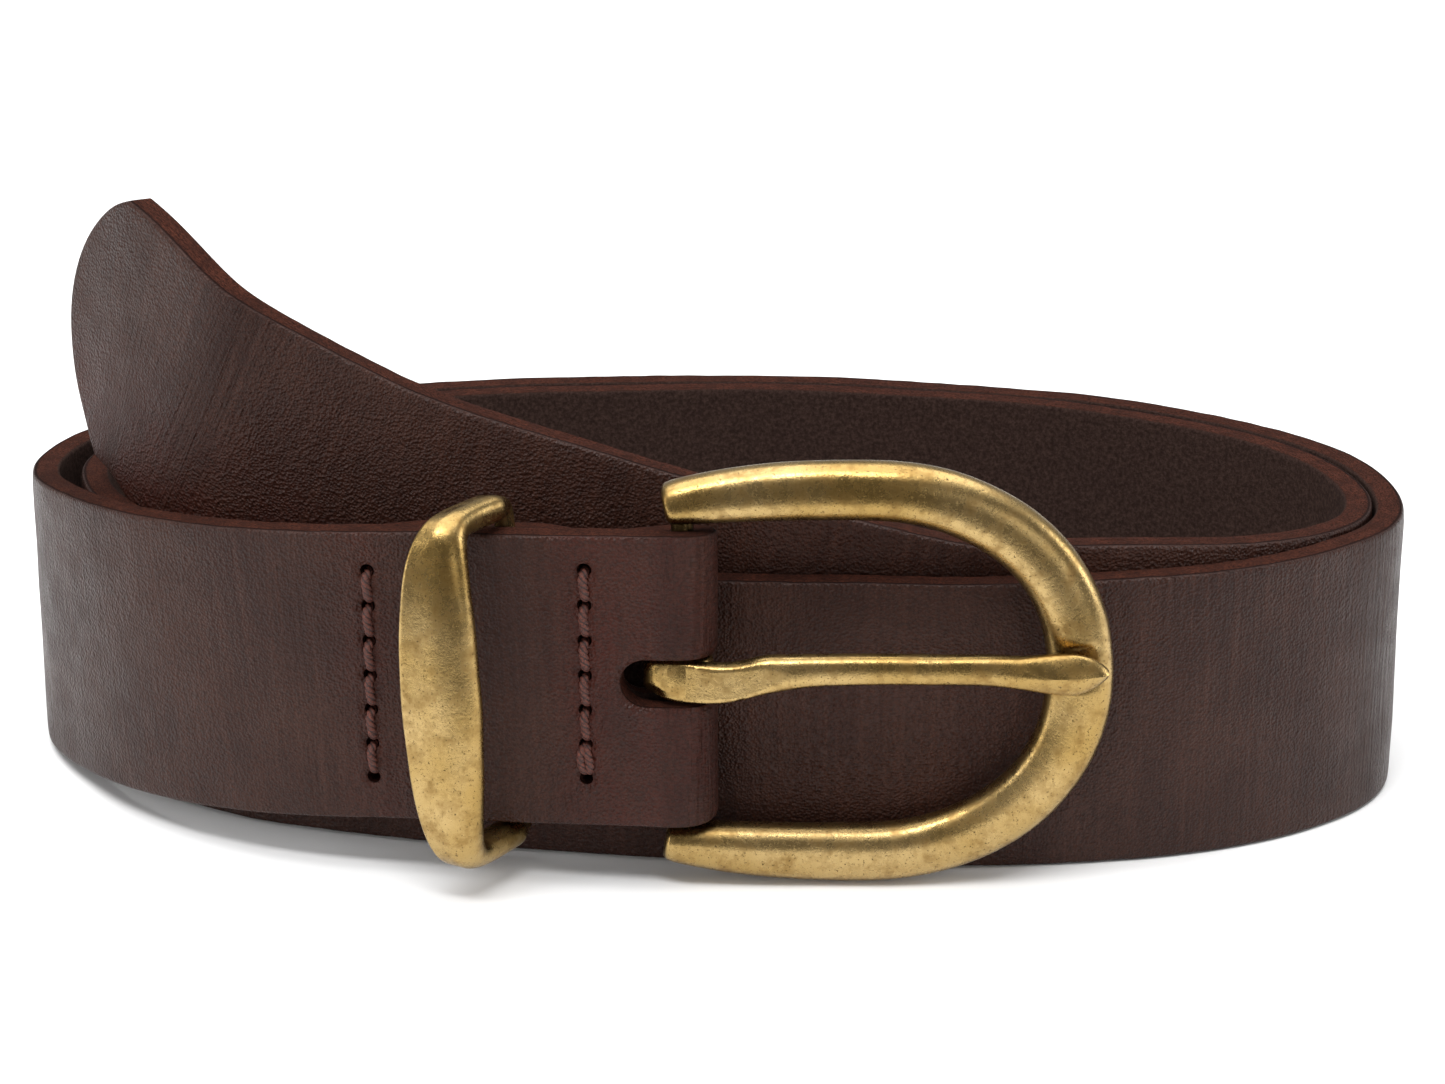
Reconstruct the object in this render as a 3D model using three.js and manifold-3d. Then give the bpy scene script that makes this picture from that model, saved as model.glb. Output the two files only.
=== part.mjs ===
// Leather belt with a brass horseshoe buckle and a brass keeper loop, coiled and standing on its edge.
// Millimetres, +Z up, the buckle faces -Y. The strap is one strip of leather: it starts at the end of
// the flap, folds round the buckle bar, runs clockwise (seen from above) through two and a quarter
// turns with its grain side out, and ends at the rounded tip, which climbs up inside the coil.

import * as THREE from 'three';
import { mergeVertices } from 'three/addons/utils/BufferGeometryUtils.js';
import Module from 'manifold-3d';

// ---------------------------------------------------------------- driving dimensions

const STRAP_WIDTH = 38;
const LEATHER = 3.7; // full thickness
const FOLD_LEATHER = 2.6; // pared thickness round the buckle bar
const FLAP_LEATHER = 2.2; // pared thickness of the flap
const LAYER_GAP = 0.35; // air between touching layers
const TIP_LENGTH = 10.5; // rounded part of the tip
const TIP_CHORD = 0.66; // share of the arc's radius that the half width covers: 1 is a half round tip
const TIP_LEAN = 2.8; // degrees the tip leans out of the coil
const TIP_LEAN_RUN = 60; // length over which the lean grows

const BAR = new THREE.Vector3(-4.9, -48.6, 27.75); // middle of the buckle bar
const BAR_RADIUS = 1.4;
const RUNNING_GAP = 0.3; // between parts that turn or slide on each other
const FOLD_RADIUS = BAR_RADIUS + 0.4 + FOLD_LEATHER; // grain face round the bar

const FLAP_TRIM = 1; // the flap is this much narrower at each edge
const POCKET_GAP = 2.6; // room for the keeper's back bar between strap and flap
const PINCHED_GAP = 0.3;
const SEAM_NEAR = 2.6; // seam next to the buckle, from the start of the straight stretch
const SEAM_FAR = 29.9;
const SEAM_NEAR_RISE = 1; // the rows' middles above the strap's middle line
const SEAM_FAR_RISE = 0.3;
const SEAM_PITCH = 4.55;
const SEAM_HOLES = 7;
const SEAM_HOLE_RADIUS = 0.85;
const THREAD_RADIUS = 0.5;
const THREAD_PEG_RADIUS = 0.45;
const THREAD_PEG_DEPTH = 1.5;
const THREAD_STANDOFF = 0.25;

const SLOT_WIDTH = 6.3; // slot for the prong, through the fold
const SLOT_END = 7.5; // from the bar's axis to the round end
const SIZE_HOLE_RADIUS = 2.5;
const SIZE_HOLE_COUNT = 5;
const SIZE_HOLE_PITCH = 25;
const FIRST_SIZE_HOLE = 105; // from the tip

const FRAME_HEIGHT = 55.1;
const FRAME_ARM_END = -2.2; // from the bar's axis
const FRAME_SHOULDER = 21.9; // where the arms turn into the bow
const FRAME_BOW = 53.1; // outermost point of the bow
const FRAME_ARM_WIDTH = 7.4;
const FRAME_BOW_WIDTH = 8.3;
const FRAME_END_WIDTH = 5.2;
const FRAME_END_TUCK = 1.8; // how far the arms' ends close in
const FRAME_DEPTH = 5.8;
const FRAME_Y = -48.9;

const PRONG_WIDTH = 5.3;
const PRONG_EYE_RADIUS = 3.8;

const KEEPER_HEIGHT = 45.9;
const KEEPER_RISE = 0.2; // the loop's middle above the strap's middle line
const KEEPER_PLACE = 12.7; // along the straight stretch
const KEEPER_STANDOFF = 6.4; // gap in front of the strap for the tip
const KEEPER_RACK = 24; // degrees that the loop is racked along the strap
const KEEPER_BAR_WIDTH = 9.6;
const KEEPER_BAR_THICKNESS = 3.5;
const KEEPER_ARM_WIDTH = 3.5;
const KEEPER_ARM_THICKNESS = 3.2;
const KEEPER_BACK_THICKNESS = 2;
const KEEPER_SQUARENESS_FRONT = 5; // exponents of the loop's outline
const KEEPER_SQUARENESS_BACK = 14;

// ---------------------------------------------------------------- the strap's route

// The route is the middle of the full-thickness leather, halfway up the strap's width.
const FLOOR_LEVEL = STRAP_WIDTH / 2; // height of the route where the strap stands on its edge

// Straight stretch behind the buckle, doubled by the flap.
const STRETCH_START = new THREE.Vector3(-14, -50.2, 27.6);
const STRETCH_ALONG = new THREE.Vector3(-26, 4.9, -1.15).normalize();
const STRETCH_BACK = new THREE.Vector3(4.9, 26, 0).normalize(); // towards the inside of the coil

// [x, y, height]
const LEFT_BEND = [
  [-53, -42.4, 25.6], [-66, -35.9, 24.2], [-77, -26.5, 22.7], [-85.6, -14.3, 20.9],
  [-90.6, -3.5, 19.7], [-91.3, 8, 19], [-86.5, 19.5, 19], [-75.5, 28.8, 19], [-60, 35.6, 19],
  [-42, 39.6, 19],
];
// [x, y], standing on the edge; both turns follow this arc, the second one a layer further in.
const SHARED_ARC = [
  [-21, 42.7], [0, 43.2], [21, 41.6], [42, 37], [60, 29.6], [75, 18.7],
  [84.9, 5.2], [88, -8.5], [86.1, -20.5], [77.5, -30.2], [63.5, -38.2], [46.5, -42],
];
// [x, y], the second turn's front and left bend.
const INNER_BEND = [
  [30, -43.4], [12, -43.1], [-8, -40.9], [-27, -37.6], [-46, -33.4], [-62, -27.8],
  [-75, -18.6], [-83.1, -6.5], [-85, 5], [-80.7, 16.1], [-71.4, 24.4], [-57.5, 31.2], [-40.5, 35.4],
];
const ARC_END_RISE = [0.1, 0.6, 1.8, 3.2]; // the last points of the second arc leave the ground
const TIP_RISE = [
  [29.9, -39.2, 22.5], [11.8, -38.8, 26.5], [-6.6, -36.8, 30.8], [-26.5, -33.3, 35.9],
  [-46.5, -27.3, 41.6], [-65.5, -20, 50.5], [-75.7, -10.1, 58.3], [-85, 2, 62.1],
];

const UP = new THREE.Vector3(0, 0, 1);
const wasm = await Module();
wasm.setup();

function stretchPoint(distance, back = 0) {
  return STRETCH_START.clone()
    .addScaledVector(STRETCH_ALONG, distance)
    .addScaledVector(STRETCH_BACK, back);
}

// Gap between strap and flap: pinched at both seams, open for the keeper between them.
function flapGap(distance) {
  const middle = (SEAM_NEAR + SEAM_FAR) / 2;
  const reach = (SEAM_FAR - SEAM_NEAR) / 2 - 1.5;
  const across = Math.min(Math.abs(distance - middle) / reach, 1);
  return PINCHED_GAP + (POCKET_GAP - PINCHED_GAP) * (1 - across ** 6) ** 2;
}

function flapPoints() {
  const distances = [37, 33, 29.5, 26.5, 24, 20.5, 16, 11.5, 8, 5.5, 2.6, 0];
  return distances.map((distance) => stretchPoint(distance, flapGap(distance) + FLAP_LEATHER));
}

function foldPoints() {
  const radius = FOLD_RADIUS - LEATHER / 2;
  const steps = 6;
  const points = [];
  for (let i = 0; i <= steps; i += 1) {
    const angle = Math.PI / 2 - (Math.PI * i) / steps;
    points.push(new THREE.Vector3(Math.cos(angle), Math.sin(angle), 0).multiplyScalar(radius).add(BAR));
  }
  return points;
}

// The shared arc moved one layer towards the inside of the coil.
function innerArc() {
  return SHARED_ARC.map(([x, y], i) => {
    const before = SHARED_ARC[Math.max(i - 1, 0)];
    const after = SHARED_ARC[Math.min(i + 1, SHARED_ARC.length - 1)];
    const along = new THREE.Vector2(after[0] - before[0], after[1] - before[1]).normalize();
    const pitch = LEATHER + LAYER_GAP;
    const rise = ARC_END_RISE[i - SHARED_ARC.length + ARC_END_RISE.length] ?? 0;
    return new THREE.Vector3(x + along.y * pitch, y - along.x * pitch, FLOOR_LEVEL + rise);
  });
}

function routePoints() {
  const raised = ([x, y, z]) => new THREE.Vector3(x, y, z);
  const standing = ([x, y]) => new THREE.Vector3(x, y, FLOOR_LEVEL);
  return [
    ...flapPoints(),
    ...foldPoints(),
    stretchPoint(0), stretchPoint(13), stretchPoint(26.46),
    ...LEFT_BEND.map(raised),
    ...SHARED_ARC.map(standing),
    ...INNER_BEND.map(standing),
    ...innerArc(),
    ...TIP_RISE.map(raised),
  ];
}

const points = routePoints();
const route = new THREE.CatmullRomCurve3(points);
route.arcLengthDivisions = 6000;
const ROUTE_LENGTH = route.getLength();

function smoothstep(value, low, high) {
  return THREE.MathUtils.smoothstep(value, low, high);
}

// Place and directions of the strap's section at a distance from the flap's end.
function sectionFrame(distance) {
  const fraction = THREE.MathUtils.clamp(distance / ROUTE_LENGTH, 0, 1);
  const point = route.getPointAt(fraction);
  point.z = Math.max(point.z, FLOOR_LEVEL);
  const along = route.getTangentAt(fraction);
  const up = UP.clone().addScaledVector(along, -along.z).normalize();
  const lean = smoothstep(distance, ROUTE_LENGTH - TIP_LEAN_RUN, ROUTE_LENGTH) * TIP_LEAN;
  up.applyAxisAngle(along, THREE.MathUtils.degToRad(lean));
  const out = new THREE.Vector3().crossVectors(up, along);
  return { point, along, up, out };
}

// Distances along the route at the control points.
function distancesAtPoints() {
  const perSegment = 40;
  const lengths = route.getLengths((points.length - 1) * perSegment);
  return points.map((_, i) => lengths[i * perSegment]);
}

const marks = distancesAtPoints();
const FOLD_START = marks[12];
const FOLD_END = marks[18];
const STRETCH_MARK = marks[19]; // the straight stretch starts here

function leatherThickness(distance) {
  const flapToFold = smoothstep(distance, FOLD_START - 8, FOLD_START);
  const foldToStrap = smoothstep(distance, FOLD_END, STRETCH_MARK - 1);
  const pared = THREE.MathUtils.lerp(FLAP_LEATHER, FOLD_LEATHER, flapToFold);
  return THREE.MathUtils.lerp(pared, LEATHER, foldToStrap);
}

function halfWidth(distance) {
  const trim = FLAP_TRIM * (1 - smoothstep(distance, FOLD_START, FOLD_END));
  const left = Math.min((ROUTE_LENGTH - distance) / TIP_LENGTH, 1);
  const arcDepth = 1 - Math.sqrt(1 - TIP_CHORD ** 2);
  const across = Math.sqrt(1 - (1 - left * arcDepth) ** 2) / TIP_CHORD;
  return (STRAP_WIDTH / 2) * Math.max(across, 0.06) - trim;
}

// ---------------------------------------------------------------- solid helpers

// The same surface with one vertex at each corner, so that it stays closed when it is bent.
function welded(geometry) {
  const bare = geometry.clone();
  bare.deleteAttribute('normal');
  bare.deleteAttribute('uv');
  return mergeVertices(bare, 1e-5);
}

function toManifold(geometry) {
  const closed = welded(geometry);
  const mesh = new wasm.Mesh({
    numProp: 3,
    vertProperties: new Float32Array(closed.attributes.position.array),
    triVerts: new Uint32Array(closed.index.array),
  });
  return new wasm.Manifold(mesh);
}

function fromManifold(solid) {
  const mesh = solid.getMesh();
  const geometry = new THREE.BufferGeometry();
  geometry.setAttribute('position', new THREE.BufferAttribute(new Float32Array(mesh.vertProperties), 3));
  geometry.setIndex(new THREE.BufferAttribute(new Uint32Array(mesh.triVerts), 1));
  return geometry;
}

// A rod with an oval section that changes along it. Each station has a point, the direction `along`,
// a side direction and the two half sizes, `side` first.
function ovalRod(stations, sides) {
  const geometry = welded(new THREE.CylinderGeometry(1, 1, 1, sides, stations.length - 1));
  const position = geometry.attributes.position;
  const vertex = new THREE.Vector3();
  for (let i = 0; i < position.count; i += 1) {
    vertex.fromBufferAttribute(position, i);
    const { point, along, side, halfSide, halfOther } =
      stations[Math.round((vertex.y + 0.5) * (stations.length - 1))];
    const other = new THREE.Vector3().crossVectors(along, side);
    const moved = point.clone()
      .addScaledVector(side, vertex.z * halfSide)
      .addScaledVector(other, vertex.x * halfOther);
    position.setXYZ(i, moved.x, moved.y, moved.z);
  }
  return geometry;
}

// A round peg from one point to another.
function peg(from, to, radius, sides) {
  const along = to.clone().sub(from);
  const geometry = new THREE.CylinderGeometry(radius, radius, along.length(), sides);
  geometry.applyQuaternion(new THREE.Quaternion().setFromUnitVectors(
    new THREE.Vector3(0, 1, 0),
    along.clone().normalize(),
  ));
  const middle = from.clone().add(to).multiplyScalar(0.5);
  return geometry.translate(middle.x, middle.y, middle.z);
}

function union(geometries) {
  const solids = geometries.map(toManifold);
  return solids.slice(1).reduce((whole, solid) => whole.add(solid), solids[0]);
}

// ---------------------------------------------------------------- strap

function stationDistances() {
  const coarse = 5.5;
  const fine = 2.2;
  const distances = [];
  for (let i = 0; i < marks.length - 1; i += 1) {
    const step = marks[i] > ROUTE_LENGTH - 40 ? fine : coarse;
    const count = Math.max(1, Math.round((marks[i + 1] - marks[i]) / step));
    for (let j = 0; j < count; j += 1) {
      distances.push(marks[i] + ((marks[i + 1] - marks[i]) * j) / count);
    }
  }
  distances.push(ROUTE_LENGTH);
  return distances;
}

function bareStrap() {
  const distances = stationDistances();
  const geometry = welded(new THREE.BoxGeometry(1, 1, 1, distances.length - 1, 1, 1));
  const position = geometry.attributes.position;
  const frames = distances.map(sectionFrame);
  for (let i = 0; i < position.count; i += 1) {
    const index = Math.round((position.getX(i) + 0.5) * (distances.length - 1));
    const { point, up, out } = frames[index];
    const distance = distances[index];
    const isGrain = position.getY(i) > 0;
    const depth = isGrain ? LEATHER / 2 : LEATHER / 2 - leatherThickness(distance);
    const height = Math.sign(position.getZ(i)) * halfWidth(distance);
    const moved = point.clone().addScaledVector(out, depth).addScaledVector(up, height);
    position.setXYZ(i, moved.x, moved.y, moved.z);
  }
  return geometry;
}

// Round-ended slot through both sides of the fold, cut from the front.
function prongSlot() {
  const radius = SLOT_WIDTH / 2;
  const shape = new THREE.Shape();
  shape.moveTo(FOLD_RADIUS + 1, -radius);
  shape.lineTo(FOLD_RADIUS + 1, radius);
  shape.lineTo(radius - SLOT_END, radius);
  shape.absarc(radius - SLOT_END, 0, radius, Math.PI / 2, Math.PI * 1.5, false);
  const depth = 2 * FOLD_RADIUS + 1;
  const geometry = new THREE.ExtrudeGeometry(shape, { depth, bevelEnabled: false, curveSegments: 12 });
  geometry.rotateX(Math.PI / 2);
  return geometry.translate(BAR.x, BAR.y + FOLD_RADIUS + 0.5, BAR.z);
}

function seamPoint(seam, hole, depth) {
  const rise = seam === SEAM_NEAR ? SEAM_NEAR_RISE : SEAM_FAR_RISE;
  const height = rise + (hole - (SEAM_HOLES - 1) / 2) * SEAM_PITCH;
  return stretchPoint(seam)
    .addScaledVector(UP, height)
    .addScaledVector(STRETCH_BACK, depth);
}

const FLAP_FACE = PINCHED_GAP + FLAP_LEATHER + LEATHER / 2; // flap's grain face behind the route

function seamHoleCutters() {
  const cutters = [];
  for (const seam of [SEAM_NEAR, SEAM_FAR]) {
    for (let hole = 0; hole < SEAM_HOLES; hole += 1) {
      const from = seamPoint(seam, hole, -LEATHER / 2 - 0.6);
      const to = seamPoint(seam, hole, FLAP_FACE + 0.6);
      cutters.push(peg(from, to, SEAM_HOLE_RADIUS, 8));
    }
  }
  return cutters;
}

function sizeHoleCutters() {
  const cutters = [];
  for (let i = 0; i < SIZE_HOLE_COUNT; i += 1) {
    const { point, out } = sectionFrame(ROUTE_LENGTH - FIRST_SIZE_HOLE - i * SIZE_HOLE_PITCH);
    const reach = LEATHER / 2 + 0.15;
    const from = point.clone().addScaledVector(out, -reach);
    const to = point.clone().addScaledVector(out, reach);
    cutters.push(peg(from, to, SIZE_HOLE_RADIUS, 14));
  }
  return cutters;
}

function strapGeometry() {
  const cutters = [prongSlot(), ...seamHoleCutters(), ...sizeHoleCutters()];
  const solid = cutters.reduce(
    (whole, cutter) => whole.subtract(toManifold(cutter)),
    toManifold(bareStrap()),
  );
  return fromManifold(solid);
}

// ---------------------------------------------------------------- seam threads

// A thread lies along its row of holes and dips a peg into each hole. `side` is -1 in front of the
// strap and 1 behind the flap.
function threadGeometry(seam, side) {
  const face = side < 0 ? -LEATHER / 2 : FLAP_FACE;
  const middle = face + side * (THREAD_STANDOFF + THREAD_RADIUS);
  const bottom = seamPoint(seam, -0.12, middle);
  const top = seamPoint(seam, SEAM_HOLES - 0.88, middle);
  const pieces = [peg(bottom, top, THREAD_RADIUS, 8)];
  for (let hole = 0; hole < SEAM_HOLES; hole += 1) {
    const inside = seamPoint(seam, hole, face - side * THREAD_PEG_DEPTH);
    pieces.push(peg(inside, seamPoint(seam, hole, middle), THREAD_PEG_RADIUS, 6));
  }
  return fromManifold(union(pieces));
}

// ---------------------------------------------------------------- buckle

// Centre line of the upper half of the horseshoe, from the arm's end to the middle of the bow,
// as [distance from the bar, height above the bar, width].
function horseshoeHalf() {
  const armHeight = (FRAME_HEIGHT - FRAME_ARM_WIDTH) / 2;
  const bowReach = FRAME_BOW - FRAME_BOW_WIDTH / 2 - FRAME_SHOULDER;
  const half = [];
  const armSteps = 6;
  for (let i = 0; i < armSteps; i += 1) {
    const t = i / armSteps;
    const swell = 1 - (1 - t) ** 2.5;
    const x = THREE.MathUtils.lerp(FRAME_ARM_END, FRAME_SHOULDER, t);
    const width = THREE.MathUtils.lerp(FRAME_END_WIDTH, FRAME_ARM_WIDTH, swell);
    half.push([x, armHeight - FRAME_END_TUCK * (1 - swell), width]);
  }
  const bowSteps = 12;
  const squareness = 2.15;
  for (let i = 0; i <= bowSteps; i += 1) {
    const angle = (Math.PI / 2) * (1 - i / bowSteps);
    const x = FRAME_SHOULDER + bowReach * Math.max(Math.cos(angle), 0) ** (2 / squareness);
    const z = armHeight * Math.max(Math.sin(angle), 0) ** (2 / squareness);
    half.push([x, z, THREE.MathUtils.lerp(FRAME_ARM_WIDTH, FRAME_BOW_WIDTH, i / bowSteps)]);
  }
  return half;
}

function horseshoeStations() {
  const half = horseshoeHalf();
  const mirrored = half.slice(0, -1).reverse().map(([x, z, width]) => [x, -z, width]);
  const line = [...half, ...mirrored].map(([x, z, width]) => ({
    point: new THREE.Vector3(BAR.x + x, FRAME_Y, BAR.z + z),
    width,
  }));
  return line.map(({ point, width }, i) => {
    const before = line[Math.max(i - 1, 0)].point;
    const after = line[Math.min(i + 1, line.length - 1)].point;
    return {
      point,
      along: after.clone().sub(before).normalize(),
      side: new THREE.Vector3(0, 1, 0),
      halfSide: FRAME_DEPTH / 2,
      halfOther: width / 2,
    };
  });
}

const BAR_HALF_LENGTH = 23.9;

function barRod(radius, halfLength, sides) {
  const reach = UP.clone().multiplyScalar(halfLength);
  return peg(BAR.clone().sub(reach), BAR.clone().add(reach), radius, sides);
}

function frameGeometry() {
  const solid = toManifold(ovalRod(horseshoeStations(), 12));
  const socket = barRod(BAR_RADIUS + RUNNING_GAP, BAR_HALF_LENGTH + RUNNING_GAP, 16);
  return fromManifold(solid.subtract(toManifold(socket)));
}

// [distance from the bar, distance in front of the bar's axis, rise, half width, half thickness]
const PRONG_SHANK = [
  [-1, 2.75, 0, 2.6, 1], [4, 3.3, 0.1, 2.65, 1.6], [7, 3.75, 0.7, 2.6, 1.7], [10, 4.2, 1.3, 2.4, 1.8],
  [16, 4.7, 2.1, 1.95, 1.7], [27, 5, 2.4, 1.85, 1.65], [38, 5.15, 2.3, 1.9, 1.6],
  [43, 5.2, 1.9, 2.3, 1.5], [47.5, 5.15, 1.75, 2.6, 1.4], [50.3, 5.1, 1.8, 1.7, 1.1],
  [51.9, 5, 1.8, 0.4, 0.6],
];

function prongGeometry() {
  const stations = PRONG_SHANK.map(([x, front, rise, halfOther, halfSide]) => ({
    point: new THREE.Vector3(BAR.x + x, BAR.y - front, BAR.z + rise),
    along: new THREE.Vector3(1, 0, 0),
    side: new THREE.Vector3(0, 1, 0),
    halfSide,
    halfOther,
  }));
  const shank = ovalRod(stations, 10);
  const eye = barRod(PRONG_EYE_RADIUS, PRONG_WIDTH / 2, 20);
  const bore = barRod(BAR_RADIUS + RUNNING_GAP, PRONG_WIDTH, 16);
  return fromManifold(union([eye, shank]).subtract(toManifold(bore)));
}

// ---------------------------------------------------------------- keeper loop

// Half width of the loop's section, along the strap. `front` is 1 on the front bar and -1 on the back.
function keeperHalfWidth(front, height) {
  const belly = Math.max(front, 0) ** 0.5 * (1 - height ** 2) ** 0.8;
  const slim = THREE.MathUtils.lerp(KEEPER_ARM_WIDTH, KEEPER_BACK_THICKNESS, Math.max(-front, 0));
  return THREE.MathUtils.lerp(slim, KEEPER_BAR_WIDTH, belly) / 2;
}

function keeperHalfThickness(front) {
  const end = front > 0 ? KEEPER_BAR_THICKNESS : KEEPER_BACK_THICKNESS;
  return THREE.MathUtils.lerp(KEEPER_ARM_THICKNESS, end, Math.abs(front)) / 2;
}

function keeperGeometry() {
  const tube = 0.25;
  const geometry = welded(new THREE.TorusGeometry(1, tube, 10, 48));
  const position = geometry.attributes.position;
  const { point, along, up, out } = sectionFrame(STRETCH_MARK + KEEPER_PLACE);
  const backBar = -LEATHER / 2 - POCKET_GAP / 2;
  const frontBar = LEATHER / 2 + KEEPER_STANDOFF + KEEPER_BAR_THICKNESS / 2;
  const halfDepth = (frontBar - backBar) / 2;
  const halfHeight = (KEEPER_HEIGHT - KEEPER_ARM_THICKNESS) / 2;
  const rack = Math.tan(THREE.MathUtils.degToRad(KEEPER_RACK));
  const signedPower = (value, exponent) => Math.sign(value) * Math.abs(value) ** exponent;
  for (let i = 0; i < position.count; i += 1) {
    const [x, y, z] = [position.getX(i), position.getY(i), position.getZ(i)];
    const ring = Math.hypot(x, y);
    const power = 2 / (x > 0 ? KEEPER_SQUARENESS_FRONT : KEEPER_SQUARENESS_BACK);
    const front = signedPower(x / ring, power);
    const height = signedPower(y / ring, power);
    const normal = new THREE.Vector2(
      signedPower(x / ring, 2 - power) / halfDepth,
      signedPower(y / ring, 2 - power) / halfHeight,
    ).normalize();
    const swell = (keeperHalfThickness(front) * (ring - 1)) / tube;
    const depth = halfDepth * (1 + front) + normal.x * swell;
    const sideways = depth * rack + (keeperHalfWidth(front, height) * z) / tube;
    const moved = point.clone()
      .addScaledVector(out, backBar + depth)
      .addScaledVector(up, KEEPER_RISE + halfHeight * height + normal.y * swell)
      .addScaledVector(along, sideways);
    position.setXYZ(i, moved.x, moved.y, moved.z);
  }
  return geometry;
}

// ---------------------------------------------------------------- materials and assembly

const leather = () => new THREE.MeshStandardMaterial({ color: 0x3c2a24, roughness: 0.45, metalness: 0 });
const brass = () => new THREE.MeshStandardMaterial({ color: 0xb89a5a, roughness: 0.3, metalness: 1 });
const thread = () => new THREE.MeshStandardMaterial({ color: 0x4a2620, roughness: 0.6, metalness: 0 });

function named(name, geometry, material) {
  const mesh = new THREE.Mesh(geometry, material);
  mesh.name = name;
  return mesh;
}

const belt = new THREE.Group();
belt.add(named('strap', strapGeometry(), leather()));
belt.add(named('buckle_frame', frameGeometry(), brass()));
belt.add(named('buckle_bar', barRod(BAR_RADIUS, BAR_HALF_LENGTH, 16), brass()));
belt.add(named('prong', prongGeometry(), brass()));
belt.add(named('keeper_loop', keeperGeometry(), brass()));
belt.add(named('seam_thread_buckle_front', threadGeometry(SEAM_NEAR, -1), thread()));
belt.add(named('seam_thread_buckle_back', threadGeometry(SEAM_NEAR, 1), thread()));
belt.add(named('seam_thread_keeper_front', threadGeometry(SEAM_FAR, -1), thread()));
belt.add(named('seam_thread_keeper_back', threadGeometry(SEAM_FAR, 1), thread()));

// The origin is the middle of the belt's box, at the level it stands on.
const box = new THREE.Box3().setFromObject(belt);
belt.position.set(-(box.min.x + box.max.x) / 2, -(box.min.y + box.max.y) / 2, -box.min.z);

export default belt;
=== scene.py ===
import math

import bmesh
import bpy
import numpy as np
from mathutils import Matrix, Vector


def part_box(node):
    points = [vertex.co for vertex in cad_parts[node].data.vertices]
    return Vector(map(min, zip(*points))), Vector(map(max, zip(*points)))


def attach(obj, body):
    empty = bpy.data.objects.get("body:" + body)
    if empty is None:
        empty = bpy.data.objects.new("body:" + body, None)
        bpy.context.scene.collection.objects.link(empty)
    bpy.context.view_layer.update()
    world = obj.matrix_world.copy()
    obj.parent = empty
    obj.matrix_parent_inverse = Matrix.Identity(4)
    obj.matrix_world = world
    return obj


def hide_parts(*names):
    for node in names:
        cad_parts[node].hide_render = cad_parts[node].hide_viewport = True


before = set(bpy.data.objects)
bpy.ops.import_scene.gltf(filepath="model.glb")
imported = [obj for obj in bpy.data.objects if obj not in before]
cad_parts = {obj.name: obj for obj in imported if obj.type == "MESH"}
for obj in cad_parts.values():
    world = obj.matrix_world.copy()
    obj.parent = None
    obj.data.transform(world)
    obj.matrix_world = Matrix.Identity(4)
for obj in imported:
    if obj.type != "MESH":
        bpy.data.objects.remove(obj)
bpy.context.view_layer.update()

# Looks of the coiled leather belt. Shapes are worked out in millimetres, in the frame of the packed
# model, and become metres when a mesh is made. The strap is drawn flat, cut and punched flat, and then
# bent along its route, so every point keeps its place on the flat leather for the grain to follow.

MM = 0.001

# ---------------------------------------------------------------- driving dimensions

STRAP_WIDTH = 38
LEATHER = 3.7
FOLD_LEATHER = 2.6
FLAP_LEATHER = 2.2
LAYER_GAP = 0.35
TIP_LENGTH = 10.5
TIP_CHORD = 0.66
TIP_LEAN = 2.8
FLAP_TRIM = 1
TIP_LEAN_RUN = 60
EDGE_ROUND = 0.45
GRAIN = LEATHER / 2

BAR_IN_ROUTE = np.array([-4.9, -48.6, 27.75])
BAR_RADIUS = 1.4
FOLD_RADIUS = BAR_RADIUS + 0.4 + FOLD_LEATHER
POCKET_GAP = 2.6
PINCHED_GAP = 0.3
SEAM_NEAR = 2.6
SEAM_FAR = 29.9
SEAM_RISES = {"buckle": 1, "keeper": 0.3}
SEAM_PITCH = 4.55
SEAM_HOLES = 7
SEAM_HOLE_RADIUS = 0.88
THREAD_RADIUS = 0.6

SLOT_WIDTH = 6.3
SLOT_END = 7.5
SIZE_HOLE_RADIUS = 2.5
SIZE_HOLE_COUNT = 5
SIZE_HOLE_PITCH = 25
FIRST_SIZE_HOLE = 105

FRAME_HEIGHT = 55.1
FRAME_ARM_END = -2.2
FRAME_SHOULDER = 21.9
FRAME_BOW = 53.1
FRAME_ARM_WIDTH = 7.4
FRAME_BOW_WIDTH = 8.3
FRAME_END_WIDTH = 5.2
FRAME_END_TUCK = 1.8
FRAME_DEPTH = 5.8
FRAME_BACK = 0.3
FRAME_SQUARENESS = 2.15
BAR_HALF_LENGTH = 23.9

PRONG_WIDTH = 5.3
PRONG_EYE_RADIUS = 3.8
PRONG_REST_RISE = 1.75
PRONG_REST_LEVEL = 0.86

KEEPER_HEIGHT = 45.9
KEEPER_RISE = 0.2
KEEPER_PLACE = 12.7
KEEPER_STANDOFF = 6.4
KEEPER_RACK = 24
KEEPER_BAR_WIDTH = 9.6
KEEPER_BAR_THICKNESS = 3.5
KEEPER_ARM_WIDTH = 4.6
KEEPER_ARM_THICKNESS = 3.3
KEEPER_BACK_THICKNESS = 2
KEEPER_SQUARENESS_FRONT = 5
KEEPER_SQUARENESS_BACK = 14

# ---------------------------------------------------------------- small helpers


def unit(vectors):
    return vectors / np.linalg.norm(vectors, axis=-1, keepdims=True)


def lerp(a, b, t):
    return a + (b - a) * t


def smoothstep(value, low, high):
    t = np.clip((np.asarray(value, float) - low) / (high - low), 0, 1)
    return t * t * (3 - 2 * t)


def signed_power(value, exponent):
    return np.sign(value) * np.abs(value) ** exponent


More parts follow.
